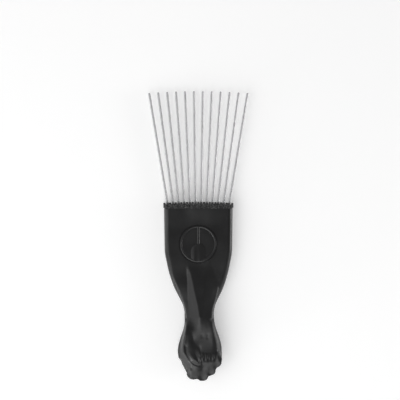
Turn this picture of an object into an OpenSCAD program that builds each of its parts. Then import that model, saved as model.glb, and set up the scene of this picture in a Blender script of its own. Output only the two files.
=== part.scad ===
// Afro pick: a fan of round wire tines set in a scalloped bar, carried by a moulded handle
// that narrows to a wrist and ends in a clenched right fist. It lies on its back:
// X runs across the fan, Y towards the tips, and Z up, out of the palm side.

/* [Tines] */
// Number of tines in the fan
tine_count = 12; // [8:1:13]
// Diameter of the wire that a tine is made of
tine_d = 1.5; // [1.1:0.1:1.8]
// Length of a middle tine that stands out of the bar
tine_l = 67.1; // [45:1:90]
// Width of the fan at the tips, between the outer tines' middles
tip_spread = 59.7; // [48:1:70]
// How far the outer tips stay behind the middle ones
tip_drop = 1.1; // [0:0.1:3]
// Diameter of the upset head that anchors a tine under the bar
anchor_d = 2.2; // [1.9:0.1:2.4]
// Thickness of that head
anchor_t = 0.8; // [0.5:0.1:1.5]

/* [Tine bar] */
// Height of the bar's visible collar, up to the lowest scallop
collar_h = 2.9; // [1.5:0.1:5]
// Height of a scallop between two tines
scallop_h = 0.8; // [0.4:0.05:1]
// How much higher the scallops stand in the middle of the bar than at its ends
crown_h = 0.5; // [0:0.1:1.5]
// How far the collar stands proud of the head, on the sides and the front
collar_proud = 0.4; // [0.1:0.05:0.6]
// Width of the flute that runs down the collar from each notch
flute_w = 1.5; // [0.8:0.1:2]
// Depth of a flute
flute_depth = 0.3; // [0.1:0.05:0.5]
// Length of the tongue below the collar
tongue_l = 9; // [6:0.5:14]
// Thickness of the tongue
tongue_t = 5; // [4:0.1:5.6]
// Plastic between an outer tine and the tongue's end
tongue_end = 0.5; // [0.4:0.05:0.6]
// Gap round a tine in its bore
tine_fit = 0.02; // [0.01:0.01:0.05]
// Gap between the tongue and its pocket, and under the collar
pocket_fit = 0.05; // [0.02:0.01:0.15]

/* [Head] */
// Width of the head at its mouth
head_w = 41.6; // [36:0.5:48]
// How much narrower the head is where it starts to narrow towards the wrist
head_draft = 0.7; // [0:0.1:2]
// Length of the head, from its mouth to where it starts to narrow
head_l = 25.4; // [20:0.5:36]
// Thickness of the head
head_t = 9; // [8:0.25:12]
// Rounding of the head's long edges
edge_r = 2.7; // [1.5:0.1:3.8]
// Distance from the head's side to the middle of the outer tine
side_land = 1.95; // [1.8:0.05:2.4]

/* [Medallion] */
// Diameter of the medallion's raised rim
medal_d = 22; // [14:0.5:24]
// Width of the rim
rim_w = 1.3; // [0.8:0.1:2.5]
// Distance of the medallion's middle from the head's mouth
medal_at = 21.7; // [18:0.5:24]
// Depth of the medallion's field and groove
relief = 0.5; // [0.2:0.05:1]
// Width of the groove round the rim
groove_w = 0.8; // [0.4:0.1:1.5]
// Width of the upright rib in the upper half
rib_w = 2.2; // [1:0.1:4]
// Width of the round-topped panel in the lower half
panel_w = 9; // [5:0.25:12]

/* [Neck] */
// Length of the stretch that narrows from the head to the wrist
flare_l = 39.9; // [30:0.5:55]
// Width of the wrist at its narrowest
wrist_w = 17.9; // [14:0.2:22]
// Thickness of the wrist
wrist_t = 14.4; // [11:0.2:15]
// How far the wrist's middle lies off the head's middle
wrist_shift = 0.5; // [-1.5:0.1:1.5]
// How far the wrist's back stands off the surface that the pick lies on
wrist_lift = 0.4; // [0:0.1:1]
// How far the forearm's ridge stands out of the wrist's flanks
arm_rise = 3.2; // [1:0.1:4]

/* [Fist] */
// Width of the fist across the knuckles
fist_w = 27.2; // [24:0.2:30]
// Length from the wrist's narrowest place to the fist's end
fist_l = 38.9; // [34:0.5:46]
// Thickness of the fist from its back to the thumb
fist_t = 18.5; // [16:0.25:22]
// Depth of the grooves between the fingers
finger_groove = 0.9; // [0.5:0.1:1.5]
// How far the heel of the hand stands out of the hand's flanks
palm_rise = 3.4; // [2:0.1:4.5]

/* [Hidden] */
// Every node of the pick: the handle, the bar and the tines from left to right.
function tine_name(i) = str("tine_", i < 9 ? "0" : "", i + 1);

$fn = 48;
overrun = 1;

// Places along Y, from the pick's middle.
total_l = tine_l + scallop_h + collar_h + pocket_fit + head_l + flare_l + fist_l;
tip_y = total_l / 2;
crest_y = tip_y - tine_l;
notch_y = crest_y - scallop_h;
collar_y = notch_y - collar_h;
mouth_y = collar_y - pocket_fit;
shoulder_y = mouth_y - head_l;
wrist_y = shoulder_y - flare_l;
medal_y = mouth_y - medal_at;
shoulder_w = head_w - head_draft;

// The fan: where each tine crosses the crest line, where it ends and how it leans.
tine_z = head_t / 2;
root_half = head_w / 2 - side_land;
root_pitch = 2 * root_half / (tine_count - 1);
tip_half = tip_spread / 2;
function fan_share(i) = 2 * i / (tine_count - 1) - 1;
function root_x(i) = fan_share(i) * root_half;
function tip_x(i) = fan_share(i) * tip_half;
function tip_end_y(i) = tip_y - tip_drop * pow(fan_share(i), 2);
function lean(i) = atan2(tip_x(i) - root_x(i), tip_end_y(i) - crest_y);
function reach(i) = norm([tip_x(i) - root_x(i), tip_end_y(i) - crest_y]);

// A tine runs down through the bar, and its head bears on a counterbore under the tongue.
tongue_y = collar_y - tongue_l;
anchor_sink = 1.5 * anchor_t;
seat_depth = crest_y - tongue_y - anchor_sink;
function seat_run(i) = seat_depth / cos(lean(i));

module at_tine(i) {
    translate([root_x(i), crest_y, tine_z]) rotate([-90, 0, -lean(i)]) children();
}

// One tine as a turned outline: upset head, shank and rounded tip.
tip_steps = 6;
module tine(i) {
    shank_r = tine_d / 2;
    bottom = -seat_run(i);
    top = reach(i);
    rounding = [for (k = [0:tip_steps])
        let (a = 90 * k / tip_steps)
        [shank_r * cos(a), top - shank_r + shank_r * sin(a)]];
    color("silver") at_tine(i) rotate_extrude()
        polygon(concat([[0, bottom - anchor_t], [anchor_d / 2, bottom - anchor_t],
                        [anchor_d / 2, bottom], [shank_r, bottom]], rounding));
}

// The rounded section that the head and the collar share, standing on its long edge.
module rounded_section(w, t) {
    translate([-w / 2 + edge_r, edge_r]) square([w - 2 * edge_r, t - 2 * edge_r]);
    translate([-w / 2 + edge_r, 0]) square([w - 2 * edge_r, t]);
    translate([-w / 2, edge_r]) square([w, t - 2 * edge_r]);
    for (x = [-w / 2 + edge_r, w / 2 - edge_r], z = [edge_r, t - edge_r])
        translate([x, z]) circle(edge_r);
}

// The tongue's outline follows the outer tines; grow widens it for the pocket.
function tongue_half(y) = root_half - (crest_y - y) * tan(lean(tine_count - 1))
    + tine_d / 2 + tine_fit + tongue_end;
module tongue_blank(grow, top, bottom) {
    translate([0, 0, tine_z - tongue_t / 2 - grow]) linear_extrude(tongue_t + 2 * grow)
        polygon([[-tongue_half(top) - grow, top], [tongue_half(top) + grow, top],
                 [tongue_half(bottom) + grow, bottom], [-tongue_half(bottom) - grow, bottom]]);
}

// The scallops are round lobes that meet in a notch at each tine.
collar_w = head_w + 2 * collar_proud;
collar_t = head_t + collar_proud;
lobe_r = (pow(root_pitch / 2, 2) + pow(scallop_h, 2)) / (2 * scallop_h);
function crown(x) = -crown_h * pow(x / root_half, 2);
flute_r = (pow(flute_w / 2, 2) + pow(flute_depth, 2)) / (2 * flute_depth);
flute_out = flute_r - flute_depth;
module tine_bar() {
    color("#1c1c1e") difference() {
        union() {
            intersection() {
                translate([0, crest_y + overrun, 0]) rotate([90, 0, 0])
                    linear_extrude(crest_y + overrun - collar_y)
                        rounded_section(collar_w, collar_t);
                union() {
                    translate([-collar_w / 2, collar_y, -overrun])
                        cube([collar_w, notch_y - crown_h - collar_y, collar_t + 2 * overrun]);
                    for (i = [-1:tine_count - 1]) {
                        x = (i + 0.5) * root_pitch - root_half;
                        translate([x, crest_y - lobe_r + crown(x), -overrun])
                            cylinder(r = lobe_r, h = collar_t + 2 * overrun);
                    }
                }
            }
            tongue_blank(0, collar_y + collar_h / 2, tongue_y);
        }
        for (i = [0:tine_count - 1]) at_tine(i) {
            translate([0, 0, -seat_run(i) - overrun])
                cylinder(d = tine_d + 2 * tine_fit, h = seat_run(i) + 2 * overrun);
            translate([0, 0, -seat_run(i) - anchor_sink - overrun])
                cylinder(d = anchor_d + 2 * tine_fit, h = anchor_sink + overrun);
            for (face = [tine_z - collar_t, tine_z])
                translate([0, face + sign(face) * flute_out, collar_y - crest_y - overrun])
                    cylinder(r = flute_r, h = crest_y - collar_y + 2 * overrun);
        }
    }
}

// Stations along the handle: [y, left, right, back, front, roundness, rise, four edges].
// The rise is the forearm's ridge on the front, and the heel of the hand that it runs into.
// The edges are the ridge's foot and flat top on the left, then its top and foot on the right.

// Shares of flare_l, of the change in width, of the changes at back and front, the roundness,
// the share of arm_rise, and the four edges as shares of wrist_w.
flare_shares = [
    [0.21, 0.878, 0.00, 0.00, 0.03, 0.02, -0.437, -0.380, 0.316, 0.490],
    [0.33, 0.785, 0.10, 0.00, 0.10, 0.23, -0.420, -0.300, 0.276, 0.523],
    [0.45, 0.665, 0.26, 0.01, 0.24, 0.50, -0.380, -0.224, 0.247, 0.534],
    [0.58, 0.500, 0.48, 0.06, 0.45, 0.76, -0.368, -0.164, 0.224, 0.523],
    [0.70, 0.295, 0.70, 0.18, 0.68, 0.95, -0.350, -0.103, 0.200, 0.470],
    [0.82, 0.095, 0.88, 0.40, 0.88, 1.05, -0.333, -0.040, 0.184, 0.420],
    [0.92, 0.010, 0.97, 0.68, 0.97, 1.08, -0.310, 0.012, 0.172, 0.402],
    [1.00, 0.000, 1.00, 1.00, 1.00, 1.00, -0.287, 0.046, 0.160, 0.420]];
// Shares of fist_l, of fist_w to the left and right, of fist_t to the back and front, the share
// of palm_rise, and the four edges as shares of fist_w.
hand_shares = [
    [0.13, -0.311, 0.370, 0.018, 0.638, 0.90, -0.203, -0.020, 0.207, 0.321],
    [0.24, -0.352, 0.421, 0.012, 0.642, 0.88, -0.180, -0.009, 0.275, 0.400],
    [0.35, -0.405, 0.475, 0.006, 0.646, 0.87, -0.150, 0.014, 0.321, 0.446],
    [0.45, -0.445, 0.512, 0.002, 0.648, 0.87, -0.190, -0.060, 0.332, 0.457],
    [0.55, -0.460, 0.525, 0.002, 0.644, 0.87, -0.180, -0.060, 0.332, 0.440],
    [0.64, -0.440, 0.522, 0.020, 0.620, 0.80, -0.160, -0.050, 0.344, 0.435],
    [0.71, -0.355, 0.455, 0.070, 0.550, 0.45, -0.150, -0.050, 0.344, 0.435],
    [0.76, -0.240, 0.350, 0.150, 0.480, 0.00, -0.150, -0.050, 0.344, 0.435]];
hand_roundness_share = 0.92;
flank_front = wrist_lift + wrist_t - arm_rise;
no_rise = [0, for (k = [6:9]) wrist_w * flare_shares[0][k]];
stations = concat(
    [for (run = [0, head_l / 2, head_l]) let (half = (head_w - head_draft * run / head_l) / 2)
        concat([mouth_y - run, -half, half, 0, head_t, 0], no_rise)],
    [for (s = flare_shares)
        let (half = (wrist_w + (shoulder_w - wrist_w) * s[1]) / 2, x = wrist_shift * (1 - s[1]))
        concat([shoulder_y - flare_l * s[0], x - half, x + half, wrist_lift * s[2],
                head_t + (flank_front - head_t) * s[3], s[4], arm_rise * s[5]],
               [for (k = [6:9]) wrist_w * s[k]])],
    [for (s = hand_shares)
        concat([wrist_y - fist_l * s[0], fist_w * s[1], fist_w * s[2], fist_t * s[3],
                fist_t * s[4], hand_roundness_share, palm_rise * s[5]],
               [for (k = [6:9]) fist_w * s[k]])]);

// A smooth curve through the stations, with a few rings between each two past the head.
between = 3;
head_stations = 3;
function pick(v, i) = v[max(0, min(len(v) - 1, i))];
function glide(a, b, c, d, t) = b + (c - a) * t / 2
    + (2 * a - 5 * b + 4 * c - d) * t * t / 2 + (3 * b - a - 3 * c + d) * t * t * t / 2;
rings = [for (i = [0:len(stations) - 2]) let (n = i < head_stations - 1 ? 1 : between)
    for (k = [0:n - 1])
        let (s = glide(pick(stations, i - 1), stations[i], stations[i + 1], pick(stations, i + 2),
                       k / n))
        [for (k = [0:len(s) - 1]) k == 3 ? max(0, s[k]) : s[k]]];
last_ring = stations[len(stations) - 1];

// How far the ridge raises the front of a ring at x: not at all outside its feet, and by all of
// its rise on its flat top.
function ease(t) = let (u = max(0, min(1, t))) u * u * (3 - 2 * u);
function swell(x, s) = s[6] * ease((x - s[7]) / (s[8] - s[7])) * ease((s[10] - x) / (s[10] - s[9]));

// One ring of the handle, between a rounded rectangle and an oval, its points paired off.
corner_steps = 6;
front_steps = 16;
back_steps = 8;
upper_points = 2 * corner_steps + front_steps + 1;
lower_points = 2 * corner_steps + back_steps + 1;
function mix(p, q, share) = p + (q - p) * share;
function section(s) = let (
    xc = (s[1] + s[2]) / 2, zc = (s[3] + s[4]) / 2, a = (s[2] - s[1]) / 2, b = (s[4] - s[3]) / 2,
    ax = a - edge_r, bz = b - edge_r,
    corner = function(sx, sz, from) [for (k = [0:corner_steps])
        let (t = from + 90 * k / corner_steps)
        [sx * ax + edge_r * cos(t), sz * bz + edge_r * sin(t)]],
    box_line = concat(
        corner(1, 1, 0),
        [for (k = [1:front_steps - 1]) [ax * (1 - 2 * k / front_steps), b]],
        corner(-1, 1, 90), corner(-1, -1, 180),
        [for (k = [1:back_steps - 1]) [-ax * (1 - 2 * k / back_steps), -b]],
        corner(1, -1, 270)),
    oval_line = concat(
        [for (k = [0:upper_points - 1]) let (t = 180 * (k + 0.5) / upper_points)
            [a * cos(t), b * sin(t)]],
        [for (k = [0:lower_points - 1]) let (t = 180 + 180 * (k + 0.5) / lower_points)
            [a * cos(t), b * sin(t)]]))
    [for (k = [0:len(box_line) - 1])
        let (p = mix(box_line[k], oval_line[k], max(0, min(1, s[5]))))
        [xc + p[0], s[0], zc + p[1] + swell(xc + p[0], s) * ease(p[1] / b)]];

// A closed skin over rings that all have as many points.
module skin(loops) {
    n = len(loops[0]);
    m = len(loops);
    polyhedron(
        points = [for (l = loops) each l],
        faces = concat(
            [[for (k = [0:n - 1]) k]],
            [for (r = [0:m - 2], k = [0:n - 1]) each [
                [r * n + k, (r + 1) * n + (k + 1) % n, r * n + (k + 1) % n],
                [r * n + k, (r + 1) * n + k, (r + 1) * n + (k + 1) % n]]],
            [[for (k = [n - 1:-1:0]) (m - 1) * n + k]]));
}

// Joints of each digit, from the hand outwards: shares of fist_w, fist_l, fist_t,
// and of fist_w for the radius there.
index_shares = [[-0.286, 0.597, 0.250, 0.165], [-0.175, 0.780, 0.430, 0.147],
    [-0.108, 0.892, 0.660, 0.136], [-0.108, 0.711, 0.755, 0.130], [-0.100, 0.650, 0.660, 0.109]];
middle_shares = [[-0.060, 0.688, 0.250, 0.169], [0.045, 0.844, 0.432, 0.150],
    [0.105, 0.903, 0.675, 0.142], [0.108, 0.715, 0.770, 0.130], [0.118, 0.655, 0.680, 0.115]];
ring_shares = [[0.173, 0.649, 0.240, 0.158], [0.235, 0.775, 0.432, 0.136],
    [0.262, 0.832, 0.650, 0.122], [0.280, 0.702, 0.750, 0.118], [0.293, 0.650, 0.670, 0.105]];
little_shares = [[0.372, 0.558, 0.235, 0.150], [0.396, 0.675, 0.430, 0.125],
    [0.402, 0.712, 0.620, 0.110], [0.413, 0.668, 0.710, 0.104], [0.418, 0.620, 0.640, 0.094]];
thumb_shares = [[-0.190, 0.190, 0.340, 0.150], [-0.185, 0.430, 0.630, 0.133],
    [-0.125, 0.640, 0.755, 0.122], [0.018, 0.753, 0.860, 0.098]];
fingers = [index_shares, middle_shares, ring_shares, little_shares];
module knuckle(j, less_r) {
    translate([fist_w * j[0], wrist_y - fist_l * j[1], fist_t * j[2]])
        sphere(fist_w * j[3] - less_r, $fn = digit_fn);
}

// A segment starts a little thinner than the last one ends, as at a finger's crease.
crease = finger_groove / 4;
digit_fn = 18;
module digit(joints) {
    for (k = [0:len(joints) - 2]) hull() {
        knuckle(joints[k], crease);
        knuckle(joints[k + 1], 0);
    }
}

// The closed hand fills the space between two fingers up to their groove.
module web(a, b) {
    hull() for (joints = [a, b], k = [1:4]) knuckle(joints[k], finger_groove);
}

// The groove round the medallion and its sunk field, cut into the head's front.
module medallion_cut() {
    translate([0, medal_y, head_t - relief]) linear_extrude(relief + overrun) {
        difference() {
            circle(medal_d / 2 + groove_w);
            circle(medal_d / 2);
        }
        difference() {
            circle(medal_d / 2 - rim_w);
            translate([-rib_w / 2, -rib_w]) square([rib_w, medal_d / 2 + rib_w]);
            translate([0, -panel_w / 2]) circle(panel_w / 2);
            translate([-panel_w / 2, -medal_d / 2]) square([panel_w, (medal_d - panel_w) / 2]);
        }
    }
}

module handle() {
    color("#1c1c1e") difference() {
        union() {
            skin([for (s = concat(rings, [last_ring])) section(s)]);
            for (d = concat(fingers, [thumb_shares])) digit(d);
            for (k = [0:len(fingers) - 2]) web(fingers[k], fingers[k + 1]);
        }
        tongue_blank(pocket_fit, mouth_y + overrun, tongue_y - pocket_fit);
        medallion_cut();
    }
}

handle();
tine_bar();
for (i = [0:tine_count - 1]) tine(i);
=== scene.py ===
# %% [markdown]
# An afro pick lies on its back, seen from straight above: a fan of bright wire tines in a black
# scalloped bar, and a moulded black handle that narrows to a wrist and ends in a clenched fist.
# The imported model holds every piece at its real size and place, so it is loaded first and stays
# as it is. Each later step dresses one piece of it, or models a finer one in the same place.

# %% Load the fixed frame
import math

import bpy
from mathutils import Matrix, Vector


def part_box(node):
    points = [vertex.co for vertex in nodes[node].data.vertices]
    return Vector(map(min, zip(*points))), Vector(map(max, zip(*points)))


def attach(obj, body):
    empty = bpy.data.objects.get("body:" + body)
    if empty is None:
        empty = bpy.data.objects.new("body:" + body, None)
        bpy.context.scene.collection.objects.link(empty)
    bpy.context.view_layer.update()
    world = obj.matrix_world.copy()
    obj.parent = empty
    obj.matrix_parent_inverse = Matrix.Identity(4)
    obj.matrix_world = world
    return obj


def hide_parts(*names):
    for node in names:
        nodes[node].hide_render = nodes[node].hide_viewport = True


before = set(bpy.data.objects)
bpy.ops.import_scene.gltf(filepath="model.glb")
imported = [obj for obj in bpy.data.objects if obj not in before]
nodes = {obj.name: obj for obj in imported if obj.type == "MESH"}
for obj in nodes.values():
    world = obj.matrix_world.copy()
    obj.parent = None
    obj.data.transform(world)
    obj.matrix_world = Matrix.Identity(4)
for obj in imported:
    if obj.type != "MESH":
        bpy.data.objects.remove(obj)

MM = 0.001

tines = [nodes[name] for name in sorted(nodes) if name.startswith("tine_") and name != "tine_bar"]
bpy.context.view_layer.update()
bpy.ops.object.select_all(action="DESELECT")
print("pieces in the frame:", len(nodes), "of them tines:", len(tines))

# %% [markdown]
# The camera looks straight down, as in a catalogue picture, through a long lens, so that the
# tines stay parallel to their real lean and the fist isn't seen from the side. The picture is
# 400 pixels wide. The pick's middle lies at one named pixel and one pixel is one named length, and
# from these two the lens and the camera's place follow. The Standard view shows a colour about as
# it is written, where the default one would grey the white sheet.

# %% Place the camera
PICTURE_PIXELS = 400
MM_PER_PIXEL = 0.6055
MIDDLE_PIXEL = (198.35, 235.5)
CAMERA_HEIGHT = 1600 * MM
CAMERA_REACH = 10
SENSOR_WIDTH = 36.0

view_width = PICTURE_PIXELS * MM_PER_PIXEL * MM
view_x = (PICTURE_PIXELS / 2 - MIDDLE_PIXEL[0]) * MM_PER_PIXEL * MM
view_y = (MIDDLE_PIXEL[1] - PICTURE_PIXELS / 2) * MM_PER_PIXEL * MM
tine_level = sum(corner.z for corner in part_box("tine_06")) / 2
bpy.ops.object.camera_add(location=(view_x, view_y, tine_level + CAMERA_HEIGHT), rotation=(0, 0, 0))
camera = bpy.context.object
camera.data.sensor_width = SENSOR_WIDTH
camera.data.lens = SENSOR_WIDTH * CAMERA_HEIGHT / view_width
camera.data.clip_end = CAMERA_REACH
bpy.context.scene.camera = camera
bpy.context.scene.view_settings.view_transform = "Standard"
print("lens in mm:", round(camera.data.lens, 1))

# %% [markdown]
# A white sheet under the pick and a soft white room are all that the wires have to mirror, and
# bright wire looks like its room. A plain white sheet would render as a pale grey, and more light
# on it would be more light on the pick as well. So its material is plain white for the light that
# falls on the pick, and a little brighter where the camera or a mirror looks at it. It shows white
# and still keeps the pick's soft shadow.

# %% Lay the floor
FLOOR_SIZE = 3.0
FLOOR_WHITE = 0.82
FLOOR_LIFT = 0.3


def grey(level):
    """A colour without a hue."""
    return (level, level, level, 1)


def new_material(name):
    """An empty node material with its output, and the tree to build in."""
    material = bpy.data.materials.new(name)
    material.use_nodes = True
    tree = material.node_tree
    tree.nodes.clear()
    return material, tree, tree.nodes.new("ShaderNodeOutputMaterial")


floor_white, tree, output = new_material("floor_white")
paper = tree.nodes.new("ShaderNodeBsdfDiffuse")
paper.inputs["Color"].default_value = grey(FLOOR_WHITE)
rays = tree.nodes.new("ShaderNodeLightPath")
seen = tree.nodes.new("ShaderNodeMath")
seen.operation = "MAXIMUM"
tree.links.new(rays.outputs["Is Camera Ray"], seen.inputs[0])
tree.links.new(rays.outputs["Is Glossy Ray"], seen.inputs[1])
unlit = tree.nodes.new("ShaderNodeEmission")
unlit.inputs["Strength"].default_value = 0
glow = tree.nodes.new("ShaderNodeEmission")
glow.inputs["Strength"].default_value = FLOOR_LIFT
lift = tree.nodes.new("ShaderNodeMixShader")
tree.links.new(seen.outputs[0], lift.inputs[0])
tree.links.new(unlit.outputs[0], lift.inputs[1])
tree.links.new(glow.outputs[0], lift.inputs[2])
both = tree.nodes.new("ShaderNodeAddShader")
tree.links.new(paper.outputs[0], both.inputs[0])
tree.links.new(lift.outputs[0], both.inputs[1])
tree.links.new(both.outputs[0], output.inputs["Surface"])

bpy.ops.mesh.primitive_plane_add(size=FLOOR_SIZE, location=(0, 0, 0))
floor = bpy.context.object
floor.name = "floor"
floor.data.materials.append(floor_white)
print("floor in metres:", [round(v, 2) for v in floor.dimensions[:2]])

# %% [markdown]
# Black plastic shows its form only by what it mirrors. A room of one brightness would leave it
# flat, so this one is bright near the horizon, which the rounded edges and the wires mirror, and
# dim overhead, where the flat head mirrors it. A colour ramp over the height of each direction does
# this without a picture of a room.

# %% Light the room
# each pair is the height of a direction, 0 level and 1 straight up, and the light from there
ROOM_LEVELS = ((0.02, 1.1), (0.3, 0.85), (0.5, 0.5), (0.68, 0.24), (0.9, 0.15), (0.99, 0.19))

world = bpy.data.worlds.new("pale_room")
bpy.context.scene.world = world
world.use_nodes = True
tree = world.node_tree
direction = tree.nodes.new("ShaderNodeTexCoord")
axes = tree.nodes.new("ShaderNodeSeparateXYZ")
tree.links.new(direction.outputs["Generated"], axes.inputs[0])
levels = tree.nodes.new("ShaderNodeValToRGB")
stops = levels.color_ramp.elements
for height, level in ROOM_LEVELS:
    stops.new(height).color = grey(level)
stops.remove(stops[0])
stops.remove(stops[-1])
tree.links.new(axes.outputs["Z"], levels.inputs["Fac"])
background = tree.nodes["Background"]
background.inputs["Color"].default_value = grey(1)
tree.links.new(levels.outputs[0], background.inputs["Strength"])
print("room levels:", [round(stop.color[0], 2) for stop in stops])

# %% [markdown]
# A big soft lamp low beyond the fist lights every slope that falls towards the fist's end, and a
# weaker one on the left picks out the slopes that face it. Two small lamps close to the horizon,
# one on the right and one low on the left, reach the steep sides and almost nothing else, so the
# gentle slopes on the right stay dark. Each lamp is a square that faces the pick. Its strength is
# given as so many times a white wall, because that stays right when its size changes.

# %% Set the lamps
LAMP_DISTANCE = 1.2
# name, turn from the right and lean from straight above in degrees, side in metres, strength
LAMPS = (("lamp_low", 240, 45, 1.2, 2.0), ("lamp_left", 180, 45, 0.9, 0.85),
         ("lamp_small_right", 0, 76, 0.3, 9.0), ("lamp_small_low", 215, 86, 0.3, 12.0))

for name, turn, lean, side, strength in LAMPS:
    turn, lean = math.radians(turn), math.radians(lean)
    way = Vector((math.sin(lean) * math.cos(turn), math.sin(lean) * math.sin(turn), math.cos(lean)))
    bpy.ops.object.light_add(type="AREA", location=way * LAMP_DISTANCE)
    lamp = bpy.context.object
    lamp.name = name
    lamp.data.shape = "SQUARE"
    lamp.data.size = side
    lamp.data.energy = strength * math.pi * side * side
    lamp.rotation_euler = way.to_track_quat("Z", "Y").to_euler()
    print(name, "watts:", round(lamp.data.energy, 2))

# %% [markdown]
# Each finish of the pick is built from the same few parts: a noise that gives clouds, grain or
# drawn lines, a step that turns it into roughness or colour, and a bump that tilts the light on the
# surface without moving it. A picture of plastic could do the same, but it would need a place on
# every face. Noise reads the piece's own coordinates, so it needs none and stays put on the piece.

# %% Make the pattern tools
NOISE_RANGE = (0.3, 0.7)


def noise_texture(tree, place, scale, detail, stretch=(1, 1, 1)):
    """A noise pattern on the piece's own coordinates; scale is in features per metre."""
    mapping = tree.nodes.new("ShaderNodeMapping")
    mapping.inputs["Scale"].default_value = stretch
    tree.links.new(place.outputs["Object"], mapping.inputs["Vector"])
    noise = tree.nodes.new("ShaderNodeTexNoise")
    noise.inputs["Scale"].default_value = scale
    noise.inputs["Detail"].default_value = detail
    tree.links.new(mapping.outputs[0], noise.inputs["Vector"])
    return noise


def spread(tree, noise, low, high):
    """Turns a noise pattern into values from low to high."""
    node = tree.nodes.new("ShaderNodeMapRange")
    node.inputs["From Min"].default_value, node.inputs["From Max"].default_value = NOISE_RANGE
    node.inputs["To Min"].default_value, node.inputs["To Max"].default_value = low, high
    tree.links.new(noise.outputs["Fac"], node.inputs["Value"])
    return node.outputs["Result"]


def blend_colours(tree, share, first, second):
    """A colour between two; the first may be a colour or the output of another node."""
    node = tree.nodes.new("ShaderNodeMix")
    node.data_type = "RGBA"
    tree.links.new(share, node.inputs["Factor"])
    if isinstance(first, bpy.types.NodeSocket):
        tree.links.new(first, node.inputs["A"])
    else:
        node.inputs["A"].default_value = first
    node.inputs["B"].default_value = second
    return node.outputs["Result"]


def bump(tree, noise, depth, below=None):
    """Raises a surface by a noise pattern, on top of another bump if there is one."""
    node = tree.nodes.new("ShaderNodeBump")
    node.inputs["Distance"].default_value = depth
    tree.links.new(noise.outputs["Fac"], node.inputs["Height"])
    if below is not None:
        tree.links.new(below, node.inputs["Normal"])
    return node.outputs["Normal"]


print("noise is used from", *NOISE_RANGE)

# %% [markdown]
# A dark grey, lighter than the black, is painted along the head's two side edges. It is a painted
# sheen that stands for the light these rounded edges catch. This could be painted by hand. Here it
# is worked out from the place on the piece: how far a point lies from the middle line, and how far
# up the head, each eased from none to all, and both multiplied.

# %% Paint a sheen on the edges
# the painted sheen on the head's side edges: its span across and along the head, and its grey
EDGE_SHEEN_ACROSS = (18.4 * MM, 20.4 * MM)
EDGE_SHEEN_ALONG = (-13 * MM, -6 * MM)
EDGE_SHEEN_GREY = 0.06


def rise(tree, value, ends):
    """Rises smoothly from 0 to 1 between two values of a number."""
    node = tree.nodes.new("ShaderNodeMapRange")
    node.interpolation_type = "SMOOTHSTEP"
    node.inputs["From Min"].default_value, node.inputs["From Max"].default_value = ends
    tree.links.new(value, node.inputs["Value"])
    return node.outputs["Result"]


def work_out(tree, operation, first, second=None):
    """One step of arithmetic on one or two numbers."""
    node = tree.nodes.new("ShaderNodeMath")
    node.operation = operation
    tree.links.new(first, node.inputs[0])
    if second:
        tree.links.new(second, node.inputs[1])
    return node.outputs[0]


def paint_edge_sheen(tree, place, colour):
    """Lightens a colour towards the head's two side edges, as a painted sheen."""
    axes = tree.nodes.new("ShaderNodeSeparateXYZ")
    tree.links.new(place.outputs["Object"], axes.inputs[0])
    across = rise(tree, work_out(tree, "ABSOLUTE", axes.outputs["X"]), EDGE_SHEEN_ACROSS)
    share = work_out(tree, "MULTIPLY", across, rise(tree, axes.outputs["Y"], EDGE_SHEEN_ALONG))
    return blend_colours(tree, share, colour, grey(EDGE_SHEEN_GREY))


print("rubbed band in mm:", round((EDGE_SHEEN_ACROSS[1] - EDGE_SHEEN_ACROSS[0]) / MM, 1))

# %% [markdown]
# The plastic is black through and through. What makes it look moulded is small: its black and its
# gloss change from place to place, a fine grain from the mould breaks the highlights, and the thick
# stretches have sunk a little as they cooled. The handle is nearly smooth, while the bar has a
# coarse mottling all over. One function makes both, because they differ in numbers alone.

# %% Make the black plastics
CLOUDS, CLOUD_DETAIL = 70, 3
SINKS, SINK_DETAIL = 45, 1
GRAIN_DETAIL = 2
DARK_CLOUD = (0.8, 0.8, 0.82)
LIGHT_CLOUD = (1.25, 1.25, 1.3)


def black_plastic(name, black, gloss, grain, grains, sunk, painted_sheen=False):
    """Moulded black plastic: how black, its least and most roughness, how deep and how many to the
    metre the grain is, how deep the sinks are, and whether a painted sheen lightens the head's side
    edges."""
    material, tree, output = new_material(name)
    surface = tree.nodes.new("ShaderNodeBsdfPrincipled")
    place = tree.nodes.new("ShaderNodeTexCoord")
    clouds = noise_texture(tree, place, CLOUDS, CLOUD_DETAIL)
    fine = noise_texture(tree, place, grains, GRAIN_DETAIL)
    broad = noise_texture(tree, place, SINKS, SINK_DETAIL)
    dark, light = ([black * part for part in cloud] + [1] for cloud in (DARK_CLOUD, LIGHT_CLOUD))
    colour = blend_colours(tree, clouds.outputs["Fac"], dark, light)
    # the painted sheen: a lighter grey painted towards the head's side edges
    if painted_sheen:
        colour = paint_edge_sheen(tree, place, colour)
    tree.links.new(colour, surface.inputs["Base Color"])
    tree.links.new(spread(tree, clouds, *gloss), surface.inputs["Roughness"])
    tree.links.new(bump(tree, fine, grain, bump(tree, broad, sunk)), surface.inputs["Normal"])
    tree.links.new(surface.outputs[0], output.inputs["Surface"])
    print(name, "nodes:", len(tree.nodes))
    return material


# the handle's plastic carries the painted sheen on the head's side edges
handle_black = black_plastic("handle_black", black=0.009, gloss=(0.28, 0.40), grain=0.004 * MM,
                             grains=1800, sunk=2 * MM, painted_sheen=True)
bar_black = black_plastic("bar_black", black=0.012, gloss=(0.28, 0.45), grain=1.1 * MM,
                          grains=900, sunk=0.2 * MM)

# %% [markdown]
# The tines are drawn steel wire with a bright plating. Drawing leaves hair-thin lines along the
# wire. They are too fine to be modelled, so the pattern that varies the wire's tint and gloss is
# stretched along the tines. The finish is set short of full metal, since a handled plating scatters
# part of the light. The frame's own tines have the right form and only get this finish.

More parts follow.
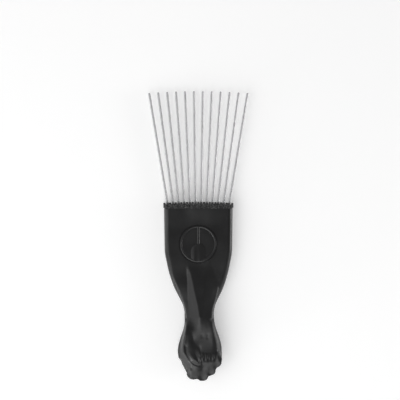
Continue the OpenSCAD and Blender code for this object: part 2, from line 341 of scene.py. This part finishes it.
# %% Make the bright wire
WIRE_METAL = 0.6
WIRE_DARK = (0.5, 0.5, 0.51, 1)
WIRE_LIGHT = (0.64, 0.64, 0.65, 1)
WIRE_GLOSS = (0.22, 0.38)
WIRE_LINES, WIRE_DETAIL = 5000, 2
WIRE_STRETCH = (1, 0.02, 1)


def dress(piece, material):
    """Gives a piece one material."""
    piece.data.materials.clear()
    piece.data.materials.append(material)


wire_bright, tree, output = new_material("wire_bright")
surface = tree.nodes.new("ShaderNodeBsdfPrincipled")
surface.inputs["Metallic"].default_value = WIRE_METAL
place = tree.nodes.new("ShaderNodeTexCoord")
drawn = noise_texture(tree, place, WIRE_LINES, WIRE_DETAIL, WIRE_STRETCH)
colour = blend_colours(tree, drawn.outputs["Fac"], WIRE_DARK, WIRE_LIGHT)
tree.links.new(colour, surface.inputs["Base Color"])
tree.links.new(spread(tree, drawn, *WIRE_GLOSS), surface.inputs["Roughness"])
tree.links.new(surface.outputs[0], output.inputs["Surface"])
for tine in tines:
    dress(tine, wire_bright)
print("tines dressed:", len(tines))

# %% [markdown]
# Blender's operators act on whatever is selected, and that is easily the wrong thing. So each step
# that follows first selects its piece by name. A node of the frame is never changed itself. Its
# copy is, and since a node's triangles lie loose side by side, the copy's are merged first, or a
# remesh would find no inside.

# %% Make the bench tools
MERGE = 0.0005 * MM


def deselect():
    """Leaves nothing selected."""
    bpy.ops.object.select_all(action="DESELECT")


def pick(piece):
    """Makes a piece the only selected and the active one."""
    deselect()
    piece.select_set(True)
    bpy.context.view_layer.objects.active = piece


def merged_copy(node, name):
    """A copy of a node of the frame, with its loose triangles merged into one shell."""
    piece = bpy.data.objects.new(name, nodes[node].data.copy())
    bpy.context.collection.objects.link(piece)
    pick(piece)
    bpy.ops.object.mode_set(mode="EDIT")
    bpy.ops.mesh.select_all(action="SELECT")
    bpy.ops.mesh.remove_doubles(threshold=MERGE)
    bpy.ops.object.mode_set(mode="OBJECT")
    return piece


def join(piece, other):
    """Adds another piece to a piece; the other one is used up."""
    pick(other)
    piece.select_set(True)
    bpy.context.view_layer.objects.active = piece
    bpy.ops.object.join()


def apply_modifier(piece, kind, **settings):
    """Adds a modifier with its settings and applies it."""
    modifier = piece.modifiers.new(kind.lower(), kind)
    for name, value in settings.items():
        setattr(modifier, name, value)
    pick(piece)
    bpy.ops.object.modifier_apply(modifier=modifier.name)


handle = merged_copy("handle", "handle_moulding")
print("corners of the handle, loose and merged:", len(nodes["handle"].data.vertices),
      len(handle.data.vertices))

# %% [markdown]
# The frame's handle has the right form in flat facets. A mould maker would blend every meeting of
# two fingers, so the copy is wrapped in an even mesh of small squares, which fuses the digits with
# the palm, and is smoothed after the carving. Small squares blur the medallion's edges, so its
# place is first filled by a plain disc, and a crisp one is cut in at the end.

# %% Fuse the handle
SQUARE = 0.36 * MM
HEAD_FRONT = 9.0 * MM
MEDAL_RADIUS = 11.0 * MM
MEDAL_GROOVE = 0.8 * MM
MEDAL_FROM_MOUTH = 21.7 * MM
RELIEF_DEPTH = 0.5 * MM
PLUG_SIDES = 64

medal_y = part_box("handle")[1].y - MEDAL_FROM_MOUTH
plug_radius = MEDAL_RADIUS + 2 * MEDAL_GROOVE
deselect()
bpy.ops.mesh.primitive_cylinder_add(vertices=PLUG_SIDES, radius=plug_radius, depth=2 * RELIEF_DEPTH,
                                    location=(0, medal_y, HEAD_FRONT - RELIEF_DEPTH))
bpy.ops.object.transform_apply(location=True)
join(handle, bpy.context.object)
apply_modifier(handle, "REMESH", mode="VOXEL", voxel_size=SQUARE)
print("handle squares:", len(handle.data.polygons))

# %% [markdown]
# The ridges and grooves of the hand have to fall where they show. So what is carved is given in
# pixels of the picture, as a designer traces a drawing, and turned into places in the frame by the
# same two named values that the camera has. What fades out does so by one soft curve.

# %% Turn pixels into places
import numpy as np


def at(px, py):
    """The place in the frame under the middle of a pixel of the picture."""
    return np.array((px + 0.5 - MIDDLE_PIXEL[0], MIDDLE_PIXEL[1] - py - 0.5)) * MM_PER_PIXEL * MM


def soft(share):
    """Eases a share between 0 and 1."""
    share = np.clip(share, 0, 1)
    return share * share * (3 - 2 * share)


print("place of pixel 200, 300 in mm:", (at(200, 300) / MM).round(2))

# %% [markdown]
# The front of the forearm and hand is worked as a medal maker works in wax: as a relief, one height
# for each place of a fine grid. It starts from the real front and back, measured by rays from above
# and below. Lines on it run from pixel to pixel, and a height in mm may go with each corner. Code
# can move many points at once, which no single operator can.

# %% Measure the front
from mathutils.bvhtree import BVHTree

CELL = 0.3 * MM
RELIEF_FIRST, RELIEF_LAST = (162, 256), (234, 384)
RIM_FADE = 1.2 * MM
RAY_START = 1.0
# each neighbour of a place is a step and the axis that it is taken along
NEIGHBOURS = ((1, 0), (-1, 0), (1, 1), (-1, 1))


class Relief:
    """The front of a piece as heights over a rectangle, between two pixels of the picture."""

    def __init__(self, piece, first, last):
        mesh = piece.data
        tree = BVHTree.FromPolygons([corner.co for corner in mesh.vertices],
                                    [face.vertices for face in mesh.polygons])
        left, top = at(*first)
        right, bottom = at(*last)
        self.low = np.array((left, bottom))
        self.counts = np.ceil((np.array((right, top)) - self.low) / CELL).astype(int)
        self.x, self.y = (self.low[axis] + CELL * np.indices(self.counts)[axis] for axis in (0, 1))
        self.level = np.zeros(self.counts)
        self.middle = np.zeros(self.counts)
        self.known = np.zeros(self.counts, bool)
        for spot in np.ndindex(*self.counts):
            x, y = self.x[spot], self.y[spot]
            front = tree.ray_cast(Vector((x, y, RAY_START)), Vector((0, 0, -1)))[0]
            back = tree.ray_cast(Vector((x, y, -RAY_START)), Vector((0, 0, 1)))[0]
            if front and back:
                self.level[spot], self.middle[spot] = front.z, (front.z + back.z) / 2
                self.known[spot] = True
        from_rim = np.where(self.known, np.inf, 0.0)
        for _ in range(int(RIM_FADE / CELL) + 1):
            from_rim = np.minimum(from_rim, self.beside(from_rim).min(axis=0) + CELL)
        self.hold = soft(from_rim / RIM_FADE) * self.known

    def beside(self, values):
        """The values of the four neighbours of each place."""
        return np.array([np.roll(values, step, axis) for step, axis in NEIGHBOURS])

    def heights(self, line):
        """The height of each corner of a line, or the front's own where none is given."""
        corners = np.array([at(*corner[:2]) for corner in line])
        i, j = ((corners - self.low) / CELL).round().astype(int).T
        return [corner[2] * MM if len(corner) > 2 else here
                for corner, here in zip(line, self.level[i, j])]

    def near(self, line):
        """The distance of each place from a line, and how far along the line it is, 0 to 1."""
        corners = [at(*corner[:2]) for corner in line]
        spans = [np.linalg.norm(end - start) for start, end in zip(corners[:-1], corners[1:])]
        gap = np.full(self.counts, np.inf)
        along = np.zeros(self.counts)
        done = 0.0
        for start, end, span in zip(corners[:-1], corners[1:], spans):
            way = (end - start) / span
            run = np.clip((self.x - start[0]) * way[0] + (self.y - start[1]) * way[1], 0, span)
            here = np.hypot(self.x - start[0] - run * way[0], self.y - start[1] - run * way[1])
            closer = here < gap
            gap[closer] = here[closer]
            along[closer] = (done + run[closer]) / sum(spans)
            done += span
        return gap, along


relief = Relief(handle, RELIEF_FIRST, RELIEF_LAST)
print("relief places:", int(relief.known.sum()), "of", relief.known.size)

# %% [markdown]
# Two tools shape the relief where its form is plain. A facet planes the strip between two lines
# that run down the picture, as a broad knife does. A stroke raises or sinks what lies near a line,
# most on the line itself and nothing beyond its width, as a modelling stick does. Both fade out
# towards the rim, so the outline stays the mould's own.

# %% Make the knife and the modelling stick
FACET_BLEND = 6 * MM
STROKE_FADE = 0.25


def facet(relief, left, right):
    """Planes the strip between two lines that both run down the picture."""
    sides, levels = [], []
    for line in (left, right):
        row = np.array([at(*corner[:2]) for corner in line])
        sides.append(np.interp(-relief.y, -row[:, 1], row[:, 0]))
        levels.append(np.interp(-relief.y, -row[:, 1], relief.heights(line)))
    share = (relief.x - sides[0]) / (sides[1] - sides[0])
    top, bottom = at(*left[0][:2])[1], at(*left[-1][:2])[1]
    weight = soft(np.minimum(top - relief.y, relief.y - bottom) / FACET_BLEND)
    weight *= (share >= 0) & (share <= 1)
    plane = levels[0] + (levels[1] - levels[0]) * share
    relief.level += (plane - relief.level) * weight * relief.hold


def stroke(relief, line, width, depth):
    """Raises the front along a line by a depth in mm, or sinks it where that is below nothing."""
    gap, along = relief.near(line)
    ends = np.sqrt(np.clip(np.minimum(along, 1 - along) / STROKE_FADE, 0, 1))
    relief.level += depth * MM * soft(1 - gap / (width * MM)) * ends * relief.hold


print("facets blend in over mm:", round(FACET_BLEND / MM, 1))

# %% [markdown]
# The hand's front is too lively for planes. A skin does it instead: lines of known height are
# pinned down, as wires under a rubber sheet, and every place between them is set again and again to
# the mean of its neighbours until the sheet is even. A few rounds more, over the lines as well,
# take the sharpness off them.

# %% Make the skin
PIN_REACH = 0.6 * CELL


def skin(relief, start, lines, rounds, soften):
    """Stretches an even skin over lines of known height, below a row of the picture."""
    hand = relief.known & (relief.y < at(0, start)[1])
    free = hand.copy()
    level = relief.level.copy()
    for line in lines:
        gap, along = relief.near(line)
        corners = np.array([at(*corner[:2]) for corner in line])
        run = np.concatenate(([0], np.cumsum(np.hypot(*np.diff(corners, axis=0).T))))
        pinned = free & (gap < PIN_REACH)
        level[pinned] = np.interp(along[pinned] * run[-1], run, relief.heights(line))
        free &= ~pinned
    around = np.maximum(relief.beside(relief.known.astype(float)).sum(axis=0), 1)
    for step in range(rounds + soften):
        mean = relief.beside(np.where(relief.known, level, 0)).sum(axis=0) / around
        level = np.where(free if step < rounds else hand, mean, level)
    relief.level = level


print("a line pins places within mm:", round(PIN_REACH / MM, 2))

# %% [markdown]
# The finished relief has to become part of the handle. Setting the handle's own corners to the
# relief's heights would stretch the few squares of its steep sides. So the handle is only cut down
# to the relief where it stands higher, and a little beyond the rim, so that no old ridge is left
# standing beside it.

# %% Make the tool that cuts down
CAP_STEPS = 3


def corners_of(piece):
    """The places of a piece's corners, one row each."""
    values = np.empty(len(piece.data.vertices) * 3)
    piece.data.vertices.foreach_get("co", values)
    return values.reshape(-1, 3)


def move_corners(piece, corners):
    """Puts a piece's corners at new places."""
    piece.data.vertices.foreach_set("co", corners.ravel())
    piece.data.update()


def cut_down(piece, relief):
    """Lowers each corner of the piece that stands above the relief."""
    corners = corners_of(piece)
    i, j = ((corners[:, :2] - relief.low) / CELL).round().astype(int).T
    inside = (i >= 0) & (j >= 0) & (i < relief.counts[0]) & (j < relief.counts[1])
    i, j = np.where(inside, i, 0), np.where(inside, j, 0)
    cap = np.where(relief.known, relief.level, np.inf)
    for _ in range(CAP_STEPS):
        cap = np.where(relief.known, cap, np.minimum(cap, relief.beside(cap).min(axis=0)))
    high = inside & (corners[:, 2] > cap[i, j])
    corners[high, 2] = cap[i, j][high]
    move_corners(piece, corners)


print("the cut reaches beyond the rim by mm:", round(CAP_STEPS * CELL / MM, 1))

# %% [markdown]
# Then the relief is made a closed sheet, with a front, a back inside the handle and walls between,
# which the same small squares can fuse with the handle. Where the finger backs fall steeply to the
# rim, the sheet reaches one place further out, so that no gap is left at the wall.

# %% Make the tools that close the relief
SHEET_BASE = 8.5 * MM
WALL = 1.0 * MM
WALL_FROM = 356
# each side of a square is a step to the next square and its two corners on that side
SIDES = (((0, -1), 0, 1), ((1, 0), 1, 2), ((0, 1), 2, 3), ((-1, 0), 3, 0))


def widen(relief):
    """Lets the relief reach one place beyond the steep rim below the finger backs."""
    relief.middle = np.minimum(relief.middle, SHEET_BASE)
    wall = relief.known & (relief.level > relief.middle + WALL)
    wall &= relief.y < at(0, WALL_FROM)[1]
    edge = ~relief.known & relief.beside(wall).any(axis=0)
    for values in (relief.level, relief.middle):
        values[edge] = relief.beside(np.where(wall, values, 0)).max(axis=0)[edge]
    relief.known |= edge


def closed_sheet(relief):
    """The relief as a closed piece."""
    known = relief.known
    full = known[:-1, :-1] & known[1:, :-1] & known[:-1, 1:] & known[1:, 1:]
    squares = {tuple(square) for square in np.argwhere(full)}
    number = np.arange(known.size).reshape(relief.counts)
    under = number + known.size
    faces = []
    for i, j in np.argwhere(full):
        ring = ((i, j), (i + 1, j), (i + 1, j + 1), (i, j + 1))
        faces.append([number[spot] for spot in ring])
        faces.append([under[spot] for spot in ring][::-1])
        for (di, dj), a, b in SIDES:
            if (i + di, j + dj) not in squares:
                a, b = ring[a], ring[b]
                faces.append([number[b], number[a], under[a], under[b]])
    base = np.minimum(relief.middle, relief.level)
    corners = [np.stack((relief.x, relief.y, level), axis=-1).reshape(-1, 3)
               for level in (relief.level, base)]
    mesh = bpy.data.meshes.new("relief")
    mesh.from_pydata(np.concatenate(corners).tolist(), [],
                     [[int(corner) for corner in face] for face in faces])
    sheet = bpy.data.objects.new("relief", mesh)
    bpy.context.collection.objects.link(sheet)
    return sheet


print("the sheet's walls start above mm:", round(WALL / MM, 1))

# %% [markdown]
# The forearm is a moulded bar with a raised middle. Its light and dark strips in the picture are
# five planes: a flank on each side, a bevel up to the ridge on each side, and the ridge's flat top,
# which narrows almost to a point at the wrist. Rounding the frame's ridge would lose these crisp
# strips, so each is planed between two lines read from the picture.

# %% Carve the forearm
LEFT_EDGE = ((169, 258, 8.95), (171.6, 275, 8.85), (174.6, 282, 8.8), (178, 290, 8.75),
             (180.5, 296, 8.75), (183.3, 303, 8.8), (185, 310, 9.2), (185.9, 317, 10.2),
             (186, 330, 11))
LEFT_FOOT = ((185.5, 263), (187, 280), (188, 300), (188.4, 308, 9.6), (189, 315, 10.7),
             (190.5, 334, 13))
LEFT_CREST = ((187.5, 263), (190.6, 275), (193.5, 290), (197, 305), (199, 316), (200, 334))
RIGHT_CREST = ((206, 263), (204.5, 275), (204, 290), (202.5, 305), (201.5, 316), (203, 334))
RIGHT_FOOT = ((213, 263), (213.5, 275), (213, 285, 9.5), (211, 295, 10.9), (208.5, 303, 12.1),
              (206, 310, 13.3), (203.5, 317, 14.4), (203.5, 334, 14))
RIGHT_EDGE = ((214, 263), (216, 275), (218, 282, 8.6), (217.6, 290, 8.8), (216.2, 296, 9.8),
              (214.2, 303, 11.1), (212.5, 310, 12.3), (211.7, 317, 13.6), (211.6, 334, 13.6))

ridges = (LEFT_EDGE, LEFT_FOOT, LEFT_CREST, RIGHT_CREST, RIGHT_FOOT, RIGHT_EDGE)
for left, right in zip(ridges[:-1], ridges[1:]):
    facet(relief, left, right)
print("forearm strips:", len(ridges) - 1)

# %% [markdown]
# A clenched hand seen from its palm has three levels: the palm's heel, the curled fingers above it
# and the thumb across them. It is drawn as lines of known height, group by group, and nothing
# moves until the last group is there. The first group is the rim on both sides, which is low, since
# the hand rounds off to its back. Each corner is a pixel of the picture and a height in mm.

# %% Draw the hand's rims
LEFT_RIM = ((184.9, 318, 10.5), (184.4, 323, 9.8), (183.2, 328, 8.8), (181.8, 333, 8.2),
            (180.4, 338, 8), (179.6, 343, 8), (178.6, 348, 8), (178.2, 352, 8), (179.3, 357, 8),
            (181.5, 361, 8), (184, 365, 8), (186.8, 369, 8), (187.8, 373, 8))
RIGHT_RIM = ((212.9, 318, 12.6), (213.3, 322, 12), (214.6, 328, 10), (216.3, 333, 8.6),
             (218.4, 338, 8), (219.8, 343, 8), (220.9, 348, 8), (221.2, 353, 8))
print("rims from", LEFT_RIM[0][1], "to", LEFT_RIM[-1][1], "in rows of the picture")

# %% [markdown]
# The wrist swells on the left into the ball of the thumb, which falls off steeply to the rim. A
# valley with a shallow dimple parts it from the palm's heel. From there the palm is nearly flat and
# slopes down towards the fingertips, and it bends over along its right edge.

# %% Draw the wrist and the palm
SHOULDER = ((185.9, 320, 11.3), (185.6, 324, 12.9), (185.2, 328, 13.9), (184.5, 333, 14.2),
            (183.3, 339, 13.9), (182.4, 345, 13.6), (182.9, 350.5, 13.6), (184.9, 354.3, 13.7),
            (187, 357.8, 13.9), (188.9, 360.9, 14.1), (191.5, 363.4, 14.2), (194.6, 364.7, 14.15),
            (198.5, 366, 13.8))
VALLEY = ((190, 320, 12), (190.3, 324, 13.05), (190.8, 329, 13.65), (191.8, 334, 13.25),
          (192.6, 338.5, 12.85), (193, 342, 12.95))
DIMPLE_EDGE = ((188.3, 333, 14), (188.2, 339, 13.7), (188.8, 343, 13.5), (192, 344.8, 13.3))
HEEL = ((199.3, 317), (200, 326, 14.2), (200.3, 334, 13.65), (200.5, 342, 13.2), (201, 348, 12.85),
        (201.2, 351.6, 12.75))
PALM = ((205, 317), (210, 321, 14.3), (211, 327, 14.45), (211.5, 334, 13.9), (212.3, 342, 13.35),
        (212, 348, 12.9), (210.5, 351.6, 12.75))
PALM_EDGE = ((212, 320, 14), (212.7, 325, 14.2), (213.7, 330, 14.1), (215.6, 338, 13.2),
             (216.6, 344, 12.5), (216.8, 348, 12.2), (216.9, 352, 12.1))
print("highest line of the wrist in mm:", max(corner[2] for corner in SHOULDER))

# %% [markdown]
# The thumb lies across the fingers. Its outer side has a groove, then comes its crest, which is
# the hand's highest line, then its pad, and its inner side drops into the hollow where the
# fingertips press against it. A tube bent along the thumb would be too round, since a moulded
# thumb is flat on top and steep on both sides, so its section is drawn line by line.

# %% Draw the thumb
GROOVE = ((185, 345, 13), (185.6, 350, 13.1), (186.9, 353.2, 13.3), (188.5, 356.8, 13.6),
          (190.3, 359.7, 13.8), (192.4, 361.6, 13.9), (195, 362.8, 13.9), (198.5, 364.2, 13.6),
          (200.8, 365.8, 13.1))
CREST = ((187.4, 349, 13.5), (188.5, 351.5, 14.1), (189.6, 353.4, 14.7), (191, 355.7, 15.1),
         (192.6, 357.8, 15.3), (194.5, 359.4, 15.4), (196.9, 360.5, 15.4), (199.6, 362, 15.2))
THUMB = ((191.5, 344.5, 13.4), (193, 349, 14.1), (194.5, 352.5, 14.8), (195.7, 355.3, 15.1),
         (197, 357.6, 15.1))
THUMB_SIDE = ((195.7, 344.5, 13), (196.3, 349, 13.3), (197, 352, 13.6), (198.3, 355, 13.8),
              (199.4, 359.5, 14.4))
HOLLOW = ((199.2, 346, 12.6), (199.4, 351, 12.6), (199.9, 355, 12.7), (200.1, 359, 13),
          (200.8, 363, 13.4))
print("the thumb's crest in mm:", max(corner[2] for corner in CREST))

# %% [markdown]
# The four fingertips are curled into the palm and show as short upright ridges. Each has its foot
# in the palm, swells over three rows and ends at the crease of the joint. A ridge and the dip
# beside it differ in height alone, so one short table holds for each line its column, its height,
# and the rise or fall of its last corner.

# %% Draw the fingertips
TIP_ROWS = (354, 356, 358.4)
TIP_DROP, TIP_SWELL, TIP_LEAN = 0.5, 0.1, 0.2
TIPS_FOOT = ((200.6, 352, 12.8), (206, 351.8, 12.8), (210.5, 351.8, 12.8), (214, 352, 12.6),
             (217.5, 352, 12.5), (219.5, 352.3, 12))
TIP_LINES = ((200.7, 12.9, 0.3), (202.3, 14.1, -0.2), (203.9, 13.1, 0.2), (204.4, 13.1, 0.2),
             (206, 14.1, -0.2), (207.6, 13, 0.2), (208.2, 13, 0.2), (209.5, 14, -0.2),
             (210.7, 13, 0.2), (211.2, 13, 0.2), (212.8, 14.1, -0.2), (214.3, 12.9, 0.3),
             (215.3, 13.1, 0.3), (217.4, 14.1, 0), (219.6, 13.7, 0))
TIPS = [((x, TIP_ROWS[0], high - TIP_DROP), (x, TIP_ROWS[1], high + TIP_SWELL),
         (x - TIP_LEAN, TIP_ROWS[2], high + last)) for x, high, last in TIP_LINES]
CREASE = ((200.8, 359.8, 13.5), (204, 359.8, 13.65), (208, 359.8, 13.5), (212.8, 359.6, 13.6),
          (214.2, 359.6, 13.4), (217.4, 359.4, 13.8), (219.6, 358.8, 13.7))
print("fingertip lines:", len(TIPS))

# %% [markdown]
# Beyond the crease the backs of the fingers slope away to the end of the fist, first gently and
# then faster, and each finger ends at its own place, so that the end of the fist is a row of steps.
# Two lines run across all four fingers, and a short one ends each of them.

# %% Draw the finger backs
BACKS_TOP = ((202, 361.4, 13.6), (204.5, 361.2, 13.6), (207.6, 361.2, 13.6), (208.3, 361.2, 13.45),
             (209, 361.1, 13.55), (213, 360.9, 13.55), (214.6, 360.7, 13.4), (215.4, 360.4, 13.5),
             (217.5, 360.2, 13.8), (219.5, 359.9, 13.9))
BACKS = ((201, 367.6, 12.6), (204, 366.5, 12.75), (207.2, 367.3, 12.8), (208.4, 367.3, 12.6),
         (210.5, 366, 12.7), (213, 365.9, 12.7), (213.9, 365.6, 12.5))
INDEX_END = ((190, 368.5, 13.3), (190.3, 375, 11.9), (193, 376.5, 11.5), (197.5, 376.4, 11.5))
MIDDLE_END = ((200.5, 377, 10.5), (202.5, 378, 10.4), (205.5, 376.6, 10.9), (207, 374.3, 11.7))
RING_END = ((208.3, 372.4, 11.3), (212.3, 371.6, 11.6))
LITTLE_END = ((214.9, 366, 12.2), (217.6, 363.8, 12.8), (219, 362, 13.5))
print("the backs fall in mm:", round(BACKS_TOP[0][2] - MIDDLE_END[0][2], 2))

# %% [markdown]
# Now the skin is stretched over all the lines, and two faint strokes dent the palm. Where two lines
# meet, the one that comes first in the list holds. The relief is laid on the handle, the whole is
# fused and smoothed, and last of all a few pushes move the outline sideways, where a finger's end
# or the side of the hand stands a fraction of a millimetre off.

# %% Shape the hand
HAND_FROM = 317
SKIN_ROUNDS, SKIN_SOFTEN = 900, 2
BLEND_STEPS = 3
# each dent is a line, its width and its depth in mm
DENTS = ((((207.8, 331.5), (206.8, 338)), 1.2, -0.15), (((201.5, 332), (202, 337)), 1.6, -0.1))
# each push is a pixel of the picture, its reach, and how far it moves the skin right and up, in mm
PUSHES = (((187, 373), 3, (-0.6, 0)), ((208, 377), 1.8, (0, 1)), ((193, 379), 3, (0, 0.35)),
          ((199, 379), 2, (0, -0.3)), ((214, 372), 2, (0, -0.3)), ((181, 361), 3, (0.25, 0)))


def push(piece, place, reach, shift):
    """Moves the skin near a pixel of the picture sideways, most at the place itself."""
    corners = corners_of(piece)
    gap = np.hypot(*(corners[:, :2] - at(*place)).T)
    corners[:, :2] += soft(1 - gap / (reach * MM))[:, None] * np.array(shift) * MM
    move_corners(piece, corners)


hand_lines = (LEFT_RIM, RIGHT_RIM, SHOULDER, VALLEY, DIMPLE_EDGE, HEEL, PALM, PALM_EDGE, GROOVE,
              CREST, THUMB, THUMB_SIDE, HOLLOW, TIPS_FOOT, *TIPS, CREASE, BACKS_TOP, BACKS,
              INDEX_END, MIDDLE_END, RING_END, LITTLE_END)
skin(relief, HAND_FROM, hand_lines, SKIN_ROUNDS, SKIN_SOFTEN)
for line, width, depth in DENTS:
    stroke(relief, line, width, depth)
cut_down(handle, relief)
widen(relief)
join(handle, closed_sheet(relief))
apply_modifier(handle, "REMESH", mode="VOXEL", voxel_size=SQUARE)
apply_modifier(handle, "SMOOTH", iterations=BLEND_STEPS)
for place, reach, shift in PUSHES:
    push(handle, place, reach, shift)
print("lines under the skin:", len(hand_lines), "handle squares:", len(handle.data.polygons))

# %% [markdown]
# The medallion is a shallow round dish with a rounded ring, a half-round rib above and a domed
# panel below that all stand just under the head's face, so that they don't wear. In the mould it is
# the other way round, and so it is here: what stands up is taken out of a dish-shaped cutter. This
# cell makes the dish and takes the ring and the rib out of it.

# %% Turn the medallion's dish
DISH_DEPTH = 0.6 * MM
DISH_SIDES = 128
RING_RADIUS = 10.45 * MM
RING_ROUND = 0.85 * MM
RING_ROUND_SIDES = 32
RIB_ROUND = 1.0 * MM
RIB_SIDES = 64
UNDER_FACE = 0.04 * MM


def shaped(name):
    """Names the piece just made and fixes its place in its mesh."""
    piece = bpy.context.object
    piece.name = name
    bpy.ops.object.transform_apply(location=True, rotation=True, scale=True)
    return piece


def combine(piece, other, operation):
    """A union, difference or intersection of two pieces; the other one is used up."""
    apply_modifier(piece, "BOOLEAN", object=other, operation=operation, solver="EXACT")
    bpy.data.objects.remove(other)


face = HEAD_FRONT - UNDER_FACE
deselect()
bpy.ops.mesh.primitive_cylinder_add(vertices=DISH_SIDES, radius=plug_radius - MEDAL_GROOVE,
                                    depth=2 * DISH_DEPTH, location=(0, medal_y, HEAD_FRONT))
dish = shaped("dish")
bpy.ops.mesh.primitive_torus_add(major_segments=DISH_SIDES, minor_segments=RING_ROUND_SIDES,
                                 major_radius=RING_RADIUS, minor_radius=RING_ROUND,
                                 location=(0, medal_y, face - RING_ROUND))
combine(dish, shaped("ring"), "DIFFERENCE")
bpy.ops.mesh.primitive_cylinder_add(vertices=RIB_SIDES, radius=RIB_ROUND, depth=RING_RADIUS,
                                    rotation=(math.pi / 2, 0, 0),
                                    location=(0, medal_y + RING_RADIUS / 2, face - RIB_ROUND))
combine(dish, shaped("rib"), "DIFFERENCE")
print("dish faces:", len(dish.data.polygons))

# %% [markdown]
# The panel is a round-topped plate. A disc and a block make its outline, and a very wide cylinder
# that lies along the pick gives its gentle dome, since both are kept only where they overlap. The
# panel is taken out of the dish, and the dish out of the handle.

# %% Dome the panel and cut the medallion
PANEL_WIDTH = 9.0 * MM
PANEL_RISE = 0.5 * MM
DOME_SIDES = 512

bpy.ops.mesh.primitive_cylinder_add(vertices=DISH_SIDES, radius=PANEL_WIDTH / 2,
                                    depth=4 * DISH_DEPTH,
                                    location=(0, medal_y - PANEL_WIDTH / 2, HEAD_FRONT))
panel = shaped("panel")
bpy.ops.mesh.primitive_cube_add(
    size=1, location=(0, medal_y - (PANEL_WIDTH / 2 + RING_RADIUS) / 2, HEAD_FRONT))
bpy.context.object.scale = (PANEL_WIDTH, RING_RADIUS - PANEL_WIDTH / 2, 4 * DISH_DEPTH)
combine(panel, shaped("panel_foot"), "UNION")
dome_radius = ((PANEL_WIDTH / 2) ** 2 + PANEL_RISE ** 2) / (2 * PANEL_RISE)
bpy.ops.mesh.primitive_cylinder_add(vertices=DOME_SIDES, radius=dome_radius, depth=3 * RING_RADIUS,
                                    rotation=(math.pi / 2, 0, 0),
                                    location=(0, medal_y, face - dome_radius))
combine(panel, shaped("dome"), "INTERSECT")
combine(dish, panel, "DIFFERENCE")
combine(handle, dish, "DIFFERENCE")
print("handle faces:", len(handle.data.polygons))

# %% [markdown]
# The bar closes the handle's rounded mouth. A pressed-in part covers its seat, so the lower front
# edge of a copy of the frame's bar is drawn down a little over the mouth. Its corners are found by
# their place and moved in code, since no operator picks them by height.

# %% Draw down the bar's lip
MOUTH_DOWN = 0.45 * MM
MOUTH_BAND = 0.1 * MM

bar = merged_copy("tine_bar", "bar_moulding")
corners = corners_of(bar)
front = corners[:, 2] > SHEET_BASE
lip = front & (corners[:, 1] < corners[front, 1].min() + MOUTH_BAND)
corners[lip, 1] -= MOUTH_DOWN
move_corners(bar, corners)
print("bar corners moved down:", int(lip.sum()))

# %% [markdown]
# Where a tine leaves the bar, the moulding is drawn back from the wire, so the upper edge rises in
# a low bump between every two tines. One round cutter for each tine opens these notches. The tines
# lean, so a cutter's place comes from a straight line fitted to its own wire.

# %% Notch the bar
NOTCH_ROUND = 1.1 * MM
NOTCH_SINK = 0.35 * MM
NOTCH_SIDES = 24
NOTCH_DEPTH = 40 * MM
EDGE_REACH = 2 * MM

bar_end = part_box("tine_bar")[1].y
for tine in tines:
    wire = corners_of(tine)
    lean, foot = np.polyfit(wire[:, 1], wire[:, 0], 1)
    across = lean * bar_end + foot
    edge = corners[front & (abs(corners[:, 0] - across) < EDGE_REACH), 1].max()
    deselect()
    bpy.ops.mesh.primitive_cylinder_add(vertices=NOTCH_SIDES, radius=NOTCH_ROUND, depth=NOTCH_DEPTH,
                                        location=(across, edge - NOTCH_SINK, 0))
    combine(bar, shaped("notch"), "DIFFERENCE")
print("notches:", len(tines), "bar faces:", len(bar.data.polygons))

# %% [markdown]
# Both mouldings are shaded smooth over gentle bends and sharp over real edges, which an angle
# decides, because marking the edges one by one would never end. Each gets its plastic, rides on the
# pick's one body and takes the place of its node.

# %% Finish the bar and the handle
CREASE_ANGLE = math.radians(35)

for piece, plastic in ((handle, handle_black), (bar, bar_black)):
    pick(piece)
    bpy.ops.object.shade_smooth_by_angle(angle=CREASE_ANGLE)
    dress(piece, plastic)
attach(handle, "root")
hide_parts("handle")
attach(bar, "root")
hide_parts("tine_bar")
print("finished:", handle.name, "and", bar.name)
